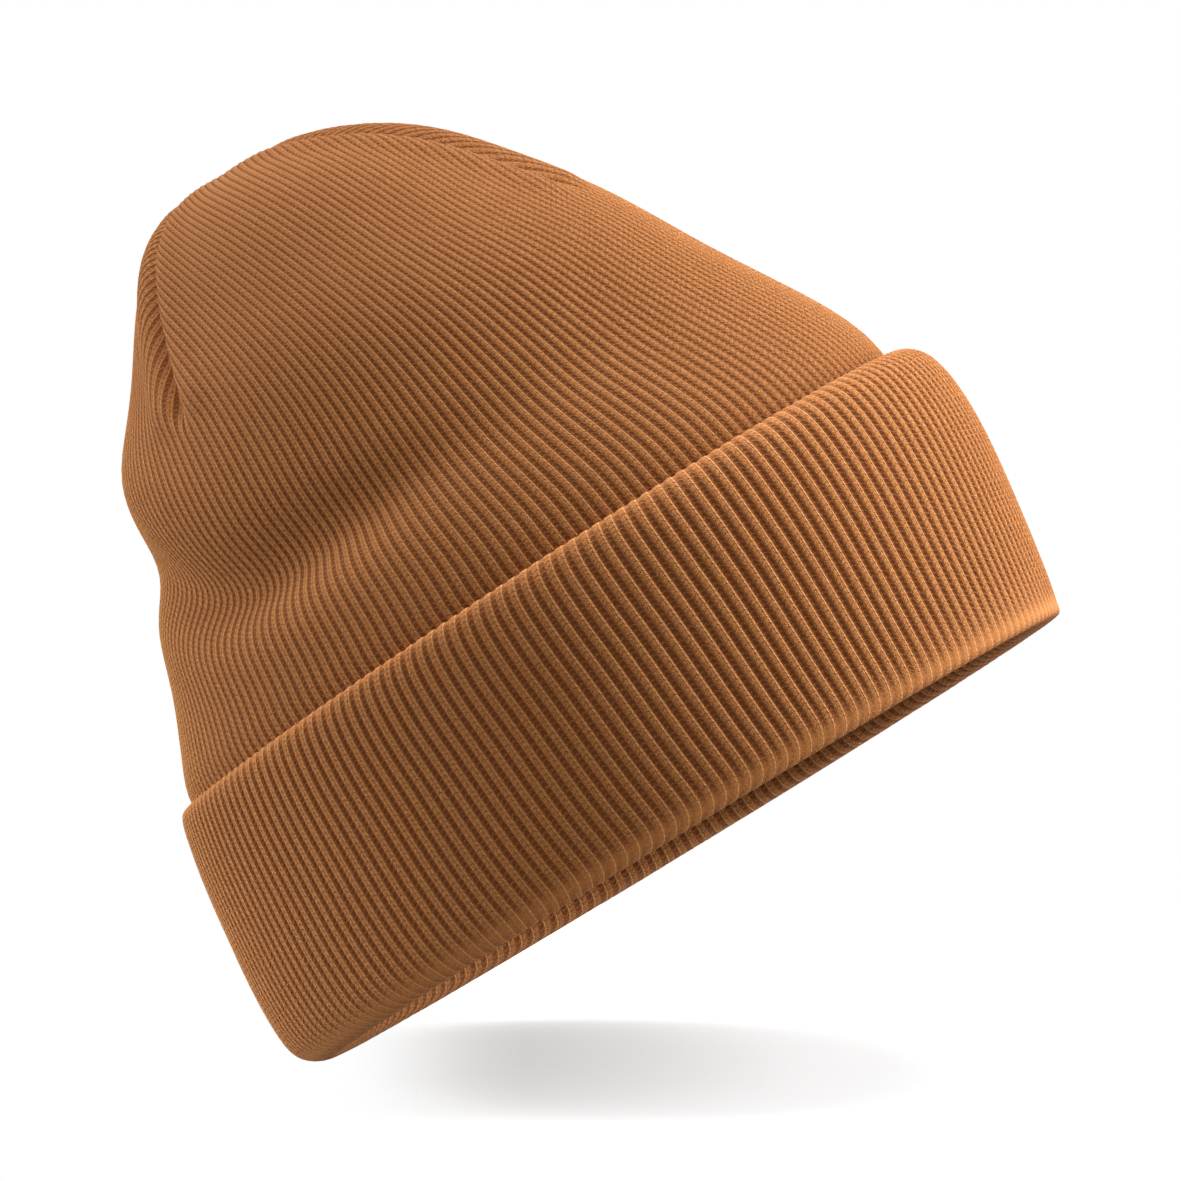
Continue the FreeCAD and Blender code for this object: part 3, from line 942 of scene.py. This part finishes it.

# %% [markdown]
# ## Room, light and camera
# The hat floats on white over its own soft shadow. The floor seen from above is one plane. The camera looks from just
# under the level of the rim and is rolled, so the view needs its own card below the hat to catch the shadow. Neither
# is part of the hat. The card fades out at its left side, where an edge would show. Two big soft lights stand left and
# right, a little behind, and leave the middle of the cuff darker than its sides. A third shines from the top of the
# view, and a weak one in front opens the hollows between the ribs.

# %% The camera
roll = math.radians(31.4)
climb = math.radians(2.67)
ahead = Vector((0.0, math.cos(climb), math.sin(climb)))
level_up = Vector((0.0, -math.sin(climb), math.cos(climb)))
level_right = Vector((1.0, 0.0, 0.0))
view_up = math.cos(roll) * level_up + math.sin(roll) * level_right
view_right = math.cos(roll) * level_right - math.sin(roll) * level_up
aim = Vector((0.0087, 0.0, 0.0610))
lens = bpy.data.cameras.new("Camera")
lens.sensor_width = 36.0
lens.lens = 342.0
lens.clip_end = 100.0
camera = bpy.data.objects.new("Camera", lens)
bpy.context.scene.collection.objects.link(camera)
axes = Matrix((view_right, view_up, -ahead)).transposed().to_4x4()
camera.matrix_world = Matrix.Translation(aim - ahead * 2.6) @ axes
bpy.context.scene.camera = camera
bpy.context.scene.view_settings.view_transform = "Standard"
print("camera at", [round(v, 3) for v in camera.location])


# %% The floor and the shadow card
def stage_plane(name, centre, right, forward, half_width, half_depth, material):
    """A flat rectangle for the room, not part of the hat."""
    mesh = bpy.data.meshes.new(name)
    corners = [(-1, -1), (1, -1), (1, 1), (-1, 1)]
    points = [centre + right * half_width * a + forward * half_depth * b for a, b in corners]
    mesh.from_pydata([tuple(p) for p in points], [], [(0, 1, 2, 3)])
    mesh.materials.append(material)
    plane = bpy.data.objects.new(name, mesh)
    bpy.context.scene.collection.objects.link(plane)
    return plane


def paper_finish(name, colour, one_sided, glow, fade=None):
    """Plain paper that glows a little. It is clear from behind if one-sided, or clear before a line if it fades."""
    material = bpy.data.materials.new(name)
    material.use_nodes = True
    tree = material.node_tree
    skin = tree.nodes["Principled BSDF"]
    skin.inputs["Base Color"].default_value = (*colour, 1.0)
    skin.inputs["Roughness"].default_value = 0.9
    skin.inputs["Emission Color"].default_value = (1.0, 1.0, 1.0, 1.0)
    skin.inputs["Emission Strength"].default_value = glow
    clear_share = None
    if one_sided:
        clear_share = tree.nodes.new("ShaderNodeNewGeometry").outputs["Backfacing"]
    if fade is not None:
        direction, first, last = fade
        where = tree.nodes.new("ShaderNodeTexCoord")
        along = tree.nodes.new("ShaderNodeVectorMath")
        along.operation = "DOT_PRODUCT"
        along.inputs[1].default_value = tuple(direction)
        tree.links.new(where.outputs["Object"], along.inputs[0])
        clear_share = node_ease(tree, along.outputs["Value"], first, last, 1.0, 0.0)
    if clear_share is not None:
        clear = tree.nodes.new("ShaderNodeBsdfTransparent")
        choose = tree.nodes.new("ShaderNodeMixShader")
        tree.links.new(clear_share, choose.inputs[0])
        tree.links.new(skin.outputs[0], choose.inputs[1])
        tree.links.new(clear.outputs[0], choose.inputs[2])
        tree.links.new(choose.outputs[0], tree.nodes["Material Output"].inputs["Surface"])
    return material


FLOOR_HALF = 6.0
floor_paper = paper_finish("Floor paper", (0.86, 0.86, 0.86), True, 0.65)
floor = stage_plane("floor", Vector((0, 0, -0.0006)), Vector((1, 0, 0)), Vector((0, 1, 0)), FLOOR_HALF, FLOOR_HALF,
                    floor_paper)
floor.visible_shadow = False
floor.visible_diffuse = False
floor.visible_glossy = False
floor.visible_transmission = False
tip_down = math.radians(5.0)
card_forward = (math.cos(tip_down) * ahead + math.sin(tip_down) * view_up).normalized()
CARD_HALF_WIDTH, CARD_HALF_DEPTH, CARD_FADE = 0.3, 0.32, 0.05
card_centre = aim - view_up * 0.1095 + view_right * 0.240
card_left = card_centre.dot(view_right) - CARD_HALF_WIDTH
card_paper = paper_finish("Card", (0.52, 0.52, 0.52), False, 0.38, (view_right, card_left, card_left + CARD_FADE))
card = stage_plane("shadow_card", card_centre, view_right, card_forward, CARD_HALF_WIDTH, CARD_HALF_DEPTH, card_paper)
card.visible_diffuse = False


# %% The lights
def soft_light(name, place_at, size, watts):
    """A big rectangular lamp that faces the hat."""
    data = bpy.data.lights.new(name, "AREA")
    data.shape = "RECTANGLE"
    data.size = size[0]
    data.size_y = size[1]
    data.energy = watts
    light = bpy.data.objects.new(name, data)
    bpy.context.scene.collection.objects.link(light)
    light.location = place_at
    light.rotation_mode = "QUATERNION"
    light.rotation_quaternion = (aim - place_at).to_track_quat("-Z", "Y")
    return light


soft_light("Left light", aim - view_right * 0.75 + ahead * 0.20 + view_up * 0.05, (0.7, 0.9), 8.5)
soft_light("Right light", aim + view_right * 0.72 + ahead * 0.10 + view_up * 0.34, (0.7, 0.9), 13.5)
soft_light("Top light", aim + view_up * 1.0 + ahead * 0.20, (0.9, 0.9), 17.0)
soft_light("Front light", aim - ahead * 1.8 + view_up * 0.5, (1.2, 1.2), 4.5)

world = bpy.data.worlds.new("Room")
bpy.context.scene.world = world
world.use_nodes = True
tree = world.node_tree
room = tree.nodes["Background"]
room.inputs["Color"].default_value = (1.0, 1.0, 1.0, 1.0)
room.inputs["Strength"].default_value = 0.38
white = tree.nodes.new("ShaderNodeBackground")
white.inputs["Color"].default_value = (1.0, 1.0, 1.0, 1.0)
white.inputs["Strength"].default_value = 1.0
path = tree.nodes.new("ShaderNodeLightPath")
either = tree.nodes.new("ShaderNodeMixShader")
tree.links.new(path.outputs["Is Camera Ray"], either.inputs[0])
tree.links.new(room.outputs[0], either.inputs[1])
tree.links.new(white.outputs[0], either.inputs[2])
tree.links.new(either.outputs[0], tree.nodes["World Output"].inputs["Surface"])
